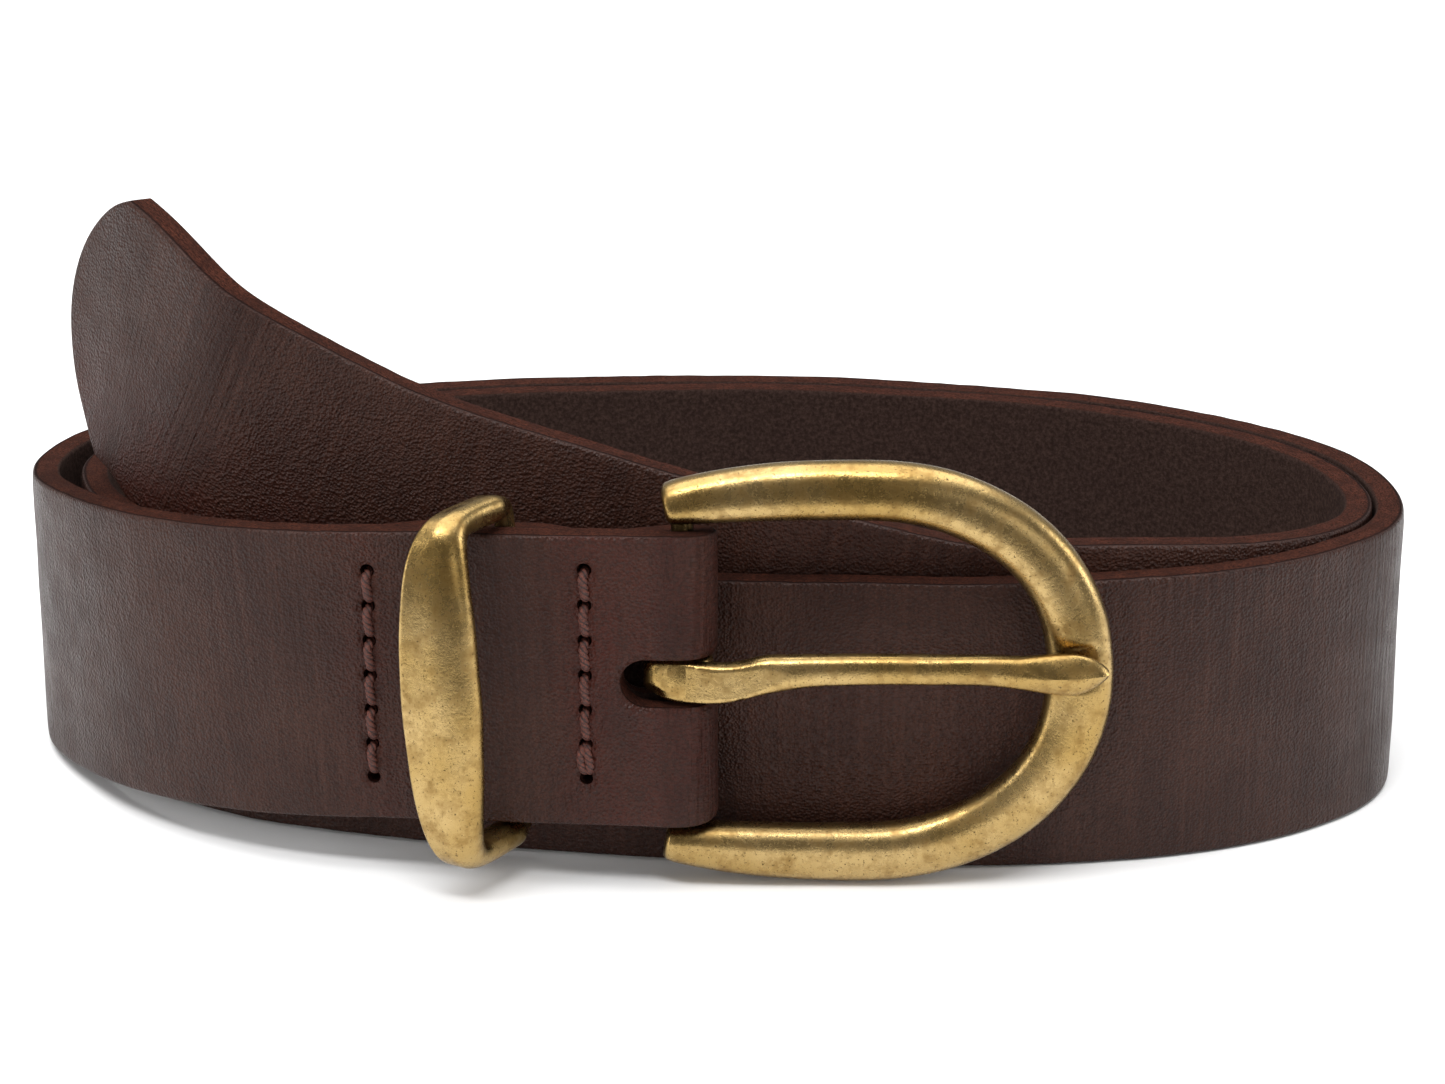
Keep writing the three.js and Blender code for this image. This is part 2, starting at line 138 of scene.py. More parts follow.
def ripple(x, y, size, seed, waves=9):
    """Smooth irregular relief between about -1 and 1, with bumps of about `size`."""
    random = np.random.RandomState(seed)
    total = np.zeros(np.broadcast(x, y).shape)
    for _ in range(waves):
        turn, phase = random.uniform(0, 2 * math.pi, 2)
        pitch = size * random.uniform(1.4, 3.2)
        total += np.sin(2 * math.pi * (x * math.cos(turn) + y * math.sin(turn)) / pitch + phase)
    return total / math.sqrt(waves)


def cad_centre(node):
    low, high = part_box(node)
    return np.array((low + high) / 2) / MM


BAR = cad_centre("buckle_bar")
ROUTE_ORIGIN = BAR - BAR_IN_ROUTE

# ---------------------------------------------------------------- the strap's route

FLOOR_LEVEL = STRAP_WIDTH / 2
STRETCH_START = np.array([-14, -50.2, 27.6])
STRETCH_ALONG = unit(np.array([-26, 4.9, -1.15]))
STRETCH_BACK = unit(np.array([4.9, 26, 0]))

LEFT_BEND = [
    [-53, -42.4, 25.6], [-66, -35.9, 24.2], [-77, -26.5, 22.7], [-85.6, -14.3, 20.9],
    [-90.6, -3.5, 19.7], [-91.3, 8, 19], [-86.5, 19.5, 19], [-75.5, 28.8, 19], [-60, 35.6, 19],
    [-42, 39.6, 19],
]
SHARED_ARC = [
    [-21, 42.7], [0, 43.2], [21, 41.6], [42, 37], [60, 29.6], [75, 18.7],
    [84.9, 5.2], [88, -8.5], [86.1, -20.5], [77.5, -30.2], [63.5, -38.2], [46.5, -42],
]
INNER_BEND = [
    [30, -43.4], [12, -43.1], [-8, -40.9], [-27, -37.6], [-46, -33.4], [-62, -27.8],
    [-75, -18.6], [-83.1, -6.5], [-85, 5], [-80.7, 16.1], [-71.4, 24.4], [-57.5, 31.2], [-40.5, 35.4],
]
ARC_END_RISE = [0.1, 0.6, 1.8, 3.2]
TIP_RISE = [
    [29.9, -39.2, 22.5], [11.8, -38.8, 26.5], [-6.6, -36.8, 30.8], [-26.5, -33.3, 35.9],
    [-46.5, -27.3, 41.6], [-65.5, -20, 50.5], [-75.7, -10.1, 58.3], [-85, 2, 62.1],
]
FLAP_DISTANCES = [37, 33, 29.5, 26.5, 24, 20.5, 16, 11.5, 8, 5.5, 2.6, 0]
FOLD_STEPS = 6


def stretch_point(distance, back=0.0):
    return STRETCH_START + STRETCH_ALONG * distance + STRETCH_BACK * back


def flap_gap(distance):
    """Gap between strap and flap: pinched at both seams, open for the keeper between them."""
    middle = (SEAM_NEAR + SEAM_FAR) / 2
    reach = (SEAM_FAR - SEAM_NEAR) / 2 - 1.5
    across = min(abs(distance - middle) / reach, 1)
    return PINCHED_GAP + (POCKET_GAP - PINCHED_GAP) * (1 - across**6) ** 2


def fold_points():
    radius = FOLD_RADIUS - LEATHER / 2
    angles = [math.pi / 2 - math.pi * i / FOLD_STEPS for i in range(FOLD_STEPS + 1)]
    return [BAR_IN_ROUTE + radius * np.array([math.cos(a), math.sin(a), 0]) for a in angles]


def inner_arc():
    """The shared arc moved one layer towards the inside of the coil, its end leaving the ground."""
    points = []
    rises = [0] * (len(SHARED_ARC) - len(ARC_END_RISE)) + ARC_END_RISE
    for i, ((x, y), rise) in enumerate(zip(SHARED_ARC, rises)):
        before = SHARED_ARC[max(i - 1, 0)]
        after = SHARED_ARC[min(i + 1, len(SHARED_ARC) - 1)]
        along = unit(np.subtract(after, before))
        pitch = LEATHER + LAYER_GAP
        points.append([x + along[1] * pitch, y - along[0] * pitch, FLOOR_LEVEL + rise])
    return points


def route_points():
    flap = [stretch_point(d, flap_gap(d) + FLAP_LEATHER) for d in FLAP_DISTANCES]
    stretch = [stretch_point(d) for d in (0, 13, 26.46)]
    standing = [[x, y, FLOOR_LEVEL] for x, y in SHARED_ARC + INNER_BEND]
    return np.array([*flap, *fold_points(), *stretch, *LEFT_BEND, *standing, *inner_arc(), *TIP_RISE])


def centripetal_curve(points, per_segment):
    """Samples of the centripetal Catmull-Rom curve through the points, `per_segment` for each gap."""
    padded = np.vstack([2 * points[0] - points[1], points, 2 * points[-1] - points[-2]])
    t = np.arange(per_segment)[:, None] / per_segment
    pieces = []
    for p0, p1, p2, p3 in zip(padded, padded[1:], padded[2:], padded[3:]):
        d0, d1, d2 = (np.linalg.norm(b - a) ** 0.5 for a, b in ((p0, p1), (p1, p2), (p2, p3)))
        start = ((p1 - p0) / d0 - (p2 - p0) / (d0 + d1) + (p2 - p1) / d1) * d1
        stop = ((p2 - p1) / d1 - (p3 - p1) / (d1 + d2) + (p3 - p2) / d2) * d1
        square = 3 * (p2 - p1) - 2 * start - stop
        cube = 2 * (p1 - p2) + start + stop
        pieces.append(p1 + start * t + square * t**2 + cube * t**3)
    return np.vstack([*pieces, points[-1:]])


def lengths_along(line):
    steps = np.linalg.norm(np.diff(line, axis=0), axis=1)
    return np.concatenate([[0], np.cumsum(steps)])


def interpolate(at, known, values):
    return np.stack([np.interp(at, known, column) for column in values.T], axis=-1)


def softened(values, spread):
    """Each column of evenly spaced values, evened out over `spread` samples, with its ends kept."""
    reach = 3 * spread
    kernel = np.exp(-0.5 * (np.arange(-reach, reach + 1) / spread) ** 2)
    kernel /= kernel.sum()
    before = 2 * values[0] - values[reach:0:-1]
    after = 2 * values[-1] - values[-2 : -reach - 2 : -1]
    padded = np.vstack([before, values, after])
    return np.stack([np.convolve(column, kernel, "valid") for column in padded.T], axis=-1)


PER_SEGMENT = 200
TABLE_STEP = 0.1
rough_line = centripetal_curve(route_points(), PER_SEGMENT)
rough_line[:, 2] = np.maximum(rough_line[:, 2], FLOOR_LEVEL)
rough_lengths = lengths_along(rough_line)
marks = rough_lengths[::PER_SEGMENT]
ROUTE_LENGTH = rough_lengths[-1]
FOLD_START, FOLD_END, STRETCH_MARK = marks[12], marks[18], marks[19]

table_at = np.linspace(0, ROUTE_LENGTH, int(ROUTE_LENGTH / TABLE_STEP))
table_point = interpolate(table_at, rough_lengths, rough_line) + ROUTE_ORIGIN
ease = smoothstep(table_at, STRETCH_MARK + 8, STRETCH_MARK + 24)[:, None]
table_point = lerp(softened(table_point, 4), softened(table_point, 35), ease)
table_along = unit(np.gradient(table_point, axis=0))
table_bend = np.linalg.norm(np.gradient(table_along, axis=0), axis=1) / TABLE_STEP


def section(distance):
    """Place and directions of the strap's section: the point, then along, up and out."""
    point = interpolate(distance, table_at, table_point)
    along = unit(interpolate(distance, table_at, table_along))
    up = unit(np.array([0, 0, 1]) - along * along[..., 2:3])
    lean = smoothstep(distance, ROUTE_LENGTH - TIP_LEAN_RUN, ROUTE_LENGTH) * math.radians(TIP_LEAN)
    sideways = np.cross(along, up)
    up = up * np.cos(lean)[..., None] + sideways * np.sin(lean)[..., None]
    return point, along, up, np.cross(up, along)


def leather_thickness(distance):
    flap_to_fold = smoothstep(distance, FOLD_START - 8, FOLD_START)
    fold_to_strap = smoothstep(distance, FOLD_END, STRETCH_MARK - 1)
    return lerp(lerp(FLAP_LEATHER, FOLD_LEATHER, flap_to_fold), LEATHER, fold_to_strap)


def bent(flat):
    """Flat leather points (distance, depth towards the grain, height) in their places on the belt."""
    distance, depth, height = flat.T
    point, _, up, out = section(distance)
    pared = GRAIN - (GRAIN - depth) * leather_thickness(distance) / LEATHER
    return point + up * height[:, None] + out * pared[:, None]


def distance_where_x(x, low, high):
    """Distance along the route between two others where the route's x coordinate is x."""
    distances = np.linspace(low, high, 2000)
    xs = section(distances)[0][:, 0]
    return distances[np.argmin(np.abs(xs - x))]


def stretch_distance_on_flap(distance):
    x = (stretch_point(distance) + ROUTE_ORIGIN)[0]
    return distance_where_x(x, 0, FOLD_START)


SEAMS = {
    "buckle_front": STRETCH_MARK + SEAM_NEAR,
    "buckle_back": stretch_distance_on_flap(SEAM_NEAR),
    "keeper_front": STRETCH_MARK + SEAM_FAR,
    "keeper_back": stretch_distance_on_flap(SEAM_FAR),
}


def seam_holes(name):
    """(distance, height) of a row's holes, from the lowest up; the row is upright on the belt."""
    rise = SEAM_RISES[name.split("_")[0]]
    heights = rise + (np.arange(SEAM_HOLES) - (SEAM_HOLES - 1) / 2) * SEAM_PITCH
    slope = section(np.array([SEAMS[name]]))[1][0, 2]
    return np.stack([SEAMS[name] + slope * heights, heights], 1)


HOLES = {name: seam_holes(name) for name in SEAMS}
SLOT_RADIUS = SLOT_WIDTH / 2
SLOT_FROM = distance_where_x(BAR[0] - SLOT_END + SLOT_RADIUS, FOLD_START - 12, FOLD_START)
SLOT_TO = distance_where_x(BAR[0] - SLOT_END + SLOT_RADIUS, FOLD_END, FOLD_END + 12)
SLOT_HEIGHT = BAR[2] - section(np.array([FOLD_END]))[0][0, 2]
SIZE_HOLES = ROUTE_LENGTH - FIRST_SIZE_HOLE - SIZE_HOLE_PITCH * np.arange(SIZE_HOLE_COUNT)

# ---------------------------------------------------------------- meshes


def new_object(name, vertices, faces, sharp=180.0):
    """A smooth mesh object from millimetre points; edges steeper than `sharp` degrees stay crisp."""
    mesh = bpy.data.meshes.new(name)
    mesh.from_pydata((np.asarray(vertices) * MM).tolist(), [], faces)
    mesh.validate()
    return finish_object(name, mesh, sharp)


def finish_object(name, mesh, sharp):
    mesh.polygons.foreach_set("use_smooth", [True] * len(mesh.polygons))
    if sharp < 180:
        mesh.set_sharp_from_angle(angle=math.radians(sharp))
    made = bpy.data.objects.new(name, mesh)
    bpy.context.scene.collection.objects.link(made)
    return made


def add_attribute(mesh, name, values):
    values = np.asarray(values, np.float32)
    kind = "FLOAT_VECTOR" if values.ndim == 2 else "FLOAT"
    made = mesh.attributes.new(name, kind, "POINT")
    made.data.foreach_set("vector" if values.ndim == 2 else "value", values.ravel())


def quads_between(rings, closed_rings=True, closed_line=False):
    """Faces between rings of vertex numbers, each a row of the array, facing out."""
    following = np.roll(rings, -1, axis=0) if closed_line else rings[1:]
    first = rings if closed_line else rings[:-1]
    if closed_rings:
        a, b, c, d = first, np.roll(first, -1, 1), np.roll(following, -1, 1), following
    else:
        a, b, c, d = first[:, :-1], first[:, 1:], following[:, 1:], following[:, :-1]
    return np.stack([a.ravel(), b.ravel(), c.ravel(), d.ravel()], axis=1).tolist()


def loft(rings, closed_line=False):
    """Vertices and faces of a tube through rings of points, with flat ends unless it closes."""
    count, sides = rings.shape[:2]
    numbers = np.arange(count * sides).reshape(count, sides)
    faces = quads_between(numbers, True, closed_line)
    if not closed_line:
        faces.append(numbers[0][::-1].tolist())
        faces.append(numbers[-1].tolist())
    return rings.reshape(-1, 3), faces


def joined(parts):
    """Several (vertices, faces) as one."""
    vertices, faces, total = [], [], 0
    for points, polygons in parts:
        vertices.append(points)
        faces.extend([[n + total for n in polygon] for polygon in polygons])
        total += len(points)
    return np.vstack(vertices), faces


def cut(target, cutter, operation="DIFFERENCE"):
    """The target's mesh after a boolean with the cutter, which is removed."""
    modifier = target.modifiers.new("cut", "BOOLEAN")
    modifier.operation = operation
    modifier.solver = "MANIFOLD"
    modifier.object = cutter
    bpy.context.view_layer.update()
    graph = bpy.context.evaluated_depsgraph_get()
    mesh = bpy.data.meshes.new_from_object(target.evaluated_get(graph))
    for old in (target, cutter):
        bpy.data.objects.remove(old)
    return mesh


def coordinates(mesh):
    values = np.zeros(len(mesh.vertices) * 3, np.float32)
    mesh.vertices.foreach_get("co", values)
    return values.reshape(-1, 3).astype(float) / MM


def set_coordinates(mesh, points):
    mesh.vertices.foreach_set("co", (points * MM).astype(np.float32).ravel())
    mesh.update()


# ---------------------------------------------------------------- strap

FINE_STEP = 0.45
COARSE_STEP = 1.35
ROWS = 37


def station_distances():
    fine_from, fine_to = FOLD_START - 9, STRETCH_MARK + 5
    stretches = (
        (0, fine_from, COARSE_STEP),
        (fine_from, fine_to, FINE_STEP),
        (fine_to, ROUTE_LENGTH, COARSE_STEP),
    )
    pieces = [np.linspace(a, b, int((b - a) / step), endpoint=False) for a, b, step in stretches]
    return np.concatenate([*pieces, [ROUTE_LENGTH]])


def face_grid():
    """Distance and height of the points of one face, inset by the edge's rounding."""
    turn = np.linspace(-1, 1, ROWS)
    rows = 0.35 * turn + 0.65 * np.sin(turn * math.pi / 2)
    stations = np.clip(station_distances(), EDGE_ROUND, ROUTE_LENGTH - EDGE_ROUND)
    deepest = 1 - math.sqrt(1 - TIP_CHORD**2)
    bulge = (1 - np.sqrt(1 - (TIP_CHORD * rows) ** 2)) / deepest * TIP_LENGTH
    pull = smoothstep(stations, ROUTE_LENGTH - 3 * TIP_LENGTH, ROUTE_LENGTH - EDGE_ROUND)
    distance = stations[:, None] - pull[:, None] * bulge
    trim = FLAP_TRIM * (1 - smoothstep(stations, FOLD_START, FOLD_END))
    half = STRAP_WIDTH / 2 - EDGE_ROUND - trim
    return distance, half[:, None] * rows


def edge_profile():
    """(outward, depth) down the raw edge from the grain face to the flesh face, ends left out."""
    corner = np.radians([22.5, 45, 67.5, 90])
    outward = EDGE_ROUND * np.sin(corner)
    inward = EDGE_ROUND * (1 - np.cos(corner))
    wall = np.linspace(GRAIN - EDGE_ROUND, EDGE_ROUND - GRAIN, 5)[1:-1]
    top = np.stack([outward, GRAIN - inward], 1)
    middle = np.stack([np.full(3, EDGE_ROUND), wall], 1)
    bottom = (top * [1, -1])[::-1]
    return np.vstack([top, middle, bottom])


def flat_slab():
    """Vertices and faces of the whole strap, flat."""
    distance, height = face_grid()
    grain_face = np.stack([distance, np.full_like(distance, GRAIN), height], -1)
    flesh_face = grain_face * [1, -1, 1]
    count = distance.size
    grain_numbers = np.arange(count).reshape(distance.shape)
    flesh_numbers = grain_numbers + count

    def around(grid):
        return np.concatenate([grid[:-1, 0], grid[-1, :-1], grid[:0:-1, -1], grid[0, :0:-1]])

    loop = around(grain_face)
    tangent = unit(np.roll(loop, -1, 0) - np.roll(loop, 1, 0))
    outward = np.stack([tangent[:, 2], np.zeros(len(loop)), -tangent[:, 0]], 1)
    rings, numbers = [], [around(grain_numbers)]
    for offset, depth in edge_profile():
        numbers.append(2 * count + len(loop) * len(rings) + np.arange(len(loop)))
        rings.append(loop * [1, 0, 1] + [0, depth, 0] + outward * offset)
    numbers.append(around(flesh_numbers))
    vertices = np.vstack([grain_face.reshape(-1, 3), flesh_face.reshape(-1, 3), *rings])
    faces = quads_between(grain_numbers, closed_rings=False)
    faces += [face[::-1] for face in quads_between(flesh_numbers, closed_rings=False)]
    faces += quads_between(np.array(numbers))
    return vertices, faces


def prism(outline):
    """A cutter through the flat leather from an anticlockwise outline of (distance, height)."""
    reach = LEATHER
    low = np.stack([outline[:, 0], np.full(len(outline), -reach), outline[:, 1]], 1)
    high = low * [1, -1, 1]
    return loft(np.stack([high, low]))


def stadium(start, stop, height, radius, sides):
    """Anticlockwise outline of a slot with round ends, or of a round hole where start is stop."""
    angles = np.linspace(-math.pi / 2, math.pi / 2, sides + 1)
    right = np.stack([stop + radius * np.cos(angles), height + radius * np.sin(angles)], 1)
    left = np.stack([start - radius * np.cos(angles), height - radius * np.sin(angles)], 1)
    if stop - start < 1e-6:
        right, left = right[:-1], left[:-1]
    return np.vstack([right, left])


def long_slot():
    """The slot's outline, with extra points on its long sides so that it can bend round the bar."""
    ends = stadium(SLOT_FROM, SLOT_TO, SLOT_HEIGHT, SLOT_RADIUS, 16)
    half = len(ends) // 2
    between = np.linspace(0, 1, 40)[1:-1, None]
    top = ends[half - 1] + (ends[half] - ends[half - 1]) * between
    bottom = ends[-1] + (ends[0] - ends[-1]) * between
    return np.vstack([ends[:half], top, ends[half:], bottom])


def flat_cutters():
    parts = [prism(long_slot())]
    for distance, height in np.vstack(list(HOLES.values())):
        parts.append(prism(stadium(distance, distance, height, SEAM_HOLE_RADIUS, 9)))
    for distance in SIZE_HOLES:
        parts.append(prism(stadium(distance, distance, 0, SIZE_HOLE_RADIUS, 20)))
    return joined(parts)


def refine_near_holes(target):
    """Finer faces round the seams and the slot, so that the dents there are smooth."""
    mesh = bmesh.new()
    mesh.from_mesh(target.data)
    edges = []
    for edge in mesh.edges:
        middle = (edge.verts[0].co + edge.verts[1].co) / 2 / MM
        near_seam = any(abs(middle.x - distance) < 3 for distance in SEAMS.values())
        in_row = abs(middle.z) < SEAM_PITCH * SEAM_HOLES / 2 + 1.5
        near_slot = SLOT_FROM - 6 < middle.x < SLOT_TO + 6 and abs(middle.z - SLOT_HEIGHT) < 5
        if (near_seam and in_row or near_slot) and abs(middle.y) > GRAIN - 0.01:
            edges.append(edge)
    bmesh.ops.subdivide_edges(mesh, edges=edges, cuts=2, use_grid_fill=True)
    mesh.to_mesh(target.data)
    mesh.free()


# Depths of the dents and heights of the rims in the grain face.
STITCH_GROOVE = 0.12
HOLE_DIP = 0.34
HOLE_RIM = 0.15
SLOT_DIP = 0.42
SLOT_RIM = 0.16
PUNCH_DIP = 0.22
EDGE_DIP = 0.1


def bell(value, middle, spread):
    return np.exp(-(((value - middle) / spread) ** 2))


def slot_clearance(distance, height):
    """Distance from the slot's outline, in the flat leather."""
    along = np.clip(distance, SLOT_FROM, SLOT_TO)
    return np.maximum(np.hypot(distance - along, height - SLOT_HEIGHT) - SLOT_RADIUS, 0)


def grain_dents(distance, height):
    """How far the grain face is pressed in: round the stitches, the slot and the size holes."""
    dents = np.zeros_like(distance)
    for holes in HOLES.values():
        beside = distance - np.interp(height, holes[:, 1], holes[:, 0])
        past_row = np.maximum(holes[0, 1] - height, height - holes[-1, 1])
        dents += STITCH_GROOVE * bell(beside, 0, 0.8) * (1 - smoothstep(past_row, 0, 1.2))
        for at, level in holes:
            away = np.hypot(distance - at, height - level)
            dents += HOLE_DIP * bell(away, 0, 1.25) - HOLE_RIM * bell(away, 1.65, 0.4)
    clearance = slot_clearance(distance, height)
    dents += SLOT_DIP * np.exp(-clearance / 0.4) - SLOT_RIM * bell(clearance, 0.9, 0.45)
    for hole in SIZE_HOLES:
        away = np.hypot(distance - hole, height) - SIZE_HOLE_RADIUS
        dents += PUNCH_DIP * np.exp(-np.maximum(away, 0) / 0.6)
    to_edge = STRAP_WIDTH / 2 - np.abs(height)
    return dents + EDGE_DIP * bell(to_edge, 0, 1.1)


def relief(flat):
    """The flat strap with its dents, its slight waves and the unevenness of its raw edges."""
    distance, depth, height = flat.T
    on_grain = smoothstep(depth, -GRAIN, GRAIN)
    wave = 0.07 * ripple(distance, height, 14, 3) + 0.03 * ripple(distance, height, 5, 4)
    raw = 1 - smoothstep(np.abs(depth), GRAIN - EDGE_ROUND, GRAIN)
    fibre = 0.05 * ripple(distance, depth * 2, 1.6, 5) * raw
    edge_wave = 0.1 * ripple(distance, 0 * distance, 18, 6)
    top = smoothstep(height, 0, STRAP_WIDTH / 2)
    moved = flat.copy()
    moved[:, 1] += wave - grain_dents(distance, height) * on_grain
    moved[:, 2] += np.sign(height) * fibre + edge_wave * top
    return moved


def make_strap():
    vertices, faces = flat_slab()
    slab = new_object("strap_flat", vertices, faces)
    refine_near_holes(slab)
    mesh = cut(slab, new_object("strap_cutters", *flat_cutters()))
    flat = coordinates(mesh)
    set_coordinates(mesh, bent(relief(flat)))
    add_attribute(mesh, "flat", flat)
    add_attribute(mesh, "bend", np.interp(flat[:, 0], table_at, table_bend))
    seam_tint = sum(np.exp(-(((flat[:, 0] - s) / 4) ** 2)) for s in SEAMS.values())
    fold_tint = smoothstep(flat[:, 0], FOLD_START - 6, FOLD_START)
    fold_tint *= 1 - smoothstep(flat[:, 0], STRETCH_MARK, STRETCH_MARK + 9)
    # Painted shade on the lower half of the strap's last stretch, where it rises inside the coil behind the
    # other layers, in the same darker red as the tint near the seams and the fold.
    low_tip_shade = smoothstep(flat[:, 0], ROUTE_LENGTH - 110, ROUTE_LENGTH - 50)
    low_tip_shade *= 1 - smoothstep(flat[:, 2], -14, 6)
    add_attribute(mesh, "tint_and_shade", np.clip(0.5 * seam_tint + 0.7 * fold_tint + 0.8 * low_tip_shade, 0, 1))
    return finish_object("strap_leather", mesh, 38)


# ---------------------------------------------------------------- seam threads

THREAD_SIDES = 18
THREAD_LAY = 2.3
FACE = GRAIN


def stitch_path(start, stop, aside=0.0, lift=0.0):
    """Centre line of one stitch from the lower side of a hole to the upper side of the next one."""
    run = abs(stop[1] - start[1])
    knots = [
        (0.34, -1.7), (0.46, -0.8), (0.75, -0.2), (1.3, 0.06 + lift), (0.5 * run, 0.1 + lift),
        (run - 1.4, 0.0 + lift), (run - 0.98, -0.35), (run - 0.72, -0.95), (run - 0.6, -1.7),
    ]
    points = []
    for travelled, height in knots:
        share = travelled / run
        distance, level = lerp(start, stop, share)
        shift = aside * math.sin(math.pi * share) + 0.12 * math.sin(2 * math.pi * share)
        points.append([distance + shift, FACE + height, level])
    return centripetal_curve(np.array(points), 9)


def twisted_tube(path, radius):
    """A three-ply thread along a path, and each vertex's place on the twist, which the thread's material uses
    for painted shade between the plies.
    """
    along = unit(np.gradient(path, axis=0))
    side = unit(np.cross(along, [[1.0, 0, 0]]))
    other = np.cross(along, side)
    turned = 2 * math.pi * lengths_along(path) / THREAD_LAY
    angles = np.linspace(0, 2 * math.pi, THREAD_SIDES, endpoint=False)
    lobes = np.abs(np.cos(1.5 * (angles - turned[:, None])))
    reach = radius * (0.72 + 0.28 * lobes)
    flatten = 0.85
    across = (reach * np.cos(angles))[..., None] * other[:, None]
    upward = (reach * np.sin(angles) * flatten)[..., None] * side[:, None]
    rings = path[:, None] + across + upward
    place = np.stack([np.broadcast_to(lengths_along(path)[:, None], lobes.shape), lobes, 0 * lobes], -1)
    return loft(rings), place.reshape(-1, 3)


def make_seam(name):
    holes = HOLES[name][::-1]
    paths = [stitch_path(a, b) for a, b in zip(holes[:-2], holes[1:-1])]
    if name.startswith("buckle"):
        paths.append(stitch_path(holes[-2], holes[-1], aside=0.55, lift=0.03))
        paths.append(stitch_path(holes[-2], holes[-1], aside=-0.5, lift=0.06))
    else:
        paths.append(stitch_path(holes[-2], holes[-1]))
    made = [twisted_tube(path, THREAD_RADIUS) for path in paths]
    vertices, faces = joined([tube for tube, _ in made])
    thread = new_object(f"thread_{name}", bent(vertices), faces, 60)
    add_attribute(thread.data, "ply", np.vstack([place for _, place in made]))
    return thread


# ---------------------------------------------------------------- buckle


def oval(sides, exponent):
    """Unit outline (across, front) of a rounded section, going from across to front."""
    angles = np.linspace(0, 2 * math.pi, sides, endpoint=False)
    power = 2 / exponent
    return np.stack([signed_power(np.cos(angles), power), signed_power(np.sin(angles), power)], 1)


def evenly(line, step):
    lengths = lengths_along(line)
    at = np.linspace(0, lengths[-1], int(lengths[-1] / step))
    return interpolate(at, lengths, line)


def horseshoe_line():
    """[distance from the bar, height above it, width] along the middle of the upper half."""
    arm_height = (FRAME_HEIGHT - FRAME_ARM_WIDTH) / 2
    t = np.linspace(0, 1, 60, endpoint=False)
    swell = 1 - (1 - t) ** 2.5
    arm = np.stack([
        lerp(FRAME_ARM_END, FRAME_SHOULDER, t),
        arm_height - FRAME_END_TUCK * (1 - swell),
        lerp(FRAME_END_WIDTH, FRAME_ARM_WIDTH, swell),
    ], 1)
    reach = FRAME_BOW - FRAME_BOW_WIDTH / 2 - FRAME_SHOULDER
    share = np.linspace(0, 1, 120)
    angle = math.pi / 2 * (1 - share)
    power = 2 / FRAME_SQUARENESS
    bow = np.stack([
        FRAME_SHOULDER + reach * np.maximum(np.cos(angle), 0) ** power,
        arm_height * np.maximum(np.sin(angle), 0) ** power,
        lerp(FRAME_ARM_WIDTH, FRAME_BOW_WIDTH, share),
    ], 1)
    half = np.vstack([arm, bow])
    whole = np.vstack([half, (half * [1, -1, 1])[-2::-1]])
    return softened(evenly(whole, 0.45), 3)


def with_round_ends(line, along, halves, radius):
    """Stations of a rod with its two ends rounded over by `radius`."""
    turns = np.radians([0, 20, 40, 60, 78])
    inset = radius * (1 - np.cos(turns))
    reach = radius * np.sin(turns)
    start = [line[0] + along[0] * (radius - r) for r in reach]
    stop = [line[-1] - along[-1] * (radius - r) for r in reach]
    lengths = lengths_along(line)
    kept = (lengths > radius * 1.05) & (lengths < lengths[-1] - radius * 1.05)
    lines = np.vstack([start[::-1], line[kept], stop])
    alongs = np.vstack([[along[0]] * 5, along[kept], [along[-1]] * 5])
    sizes = np.vstack([(halves[0] - inset[:, None])[::-1], halves[kept], halves[-1] - inset[:, None]])
    return lines, alongs, sizes


def frame_section(height):
    """Outline (out of the window, front) of the frame, flatter behind, with the prong's rest."""
    outline = oval(44, 2.25)
    front = np.where(outline[:, 1] > 0, outline[:, 1], outline[:, 1] * 0.93)
    rest = 1 - smoothstep(abs(height - PRONG_REST_RISE), PRONG_WIDTH / 2 - 0.4, PRONG_WIDTH / 2 + 1.3)
    pressed = np.minimum(front, lerp(1.2, PRONG_REST_LEVEL, rest))
    return np.stack([outline[:, 0], pressed], 1)


def make_buckle_frame():
    line = horseshoe_line()
    middle = np.stack([BAR[0] + line[:, 0], np.full(len(line), BAR[1] - FRAME_BACK), BAR[2] + line[:, 1]], 1)
    along = unit(np.gradient(middle, axis=0))
    halves = np.stack([line[:, 2] / 2, np.full(len(line), FRAME_DEPTH / 2)], 1)
    middle, along, halves = with_round_ends(middle, along, halves, 0.9)
    outward = np.stack([-along[:, 2], np.zeros(len(along)), along[:, 0]], 1)
    front = np.array([0, -1, 0])
    rings = []
    for point, out, (half_width, half_depth) in zip(middle, outward, halves):
        outline = frame_section(point[2] - BAR[2])
        across = outline[:, :1] * half_width * out
        rings.append(point + across + outline[:, 1:] * half_depth * front)
    vertices, faces = loft(np.array(rings))
    vertices = worn(vertices, 0.05, 8)
    solid = new_object("frame_solid", vertices, faces)
    socket = new_object("frame_socket", *rod(BAR_RADIUS + 0.3, BAR_HALF_LENGTH + 0.3, 0.1))
    return finish_object("buckle_frame_brass", cut(solid, socket), 50)


def worn(vertices, amount, seed):
    """Slight unevenness of a hand-finished casting."""
    x, y, z = vertices.T
    shift = np.stack([
        ripple(x + y, z, 6, seed), ripple(x, z + y, 7, seed + 1), ripple(x - y, z, 6, seed + 2),
    ], 1)
    return vertices + amount * shift


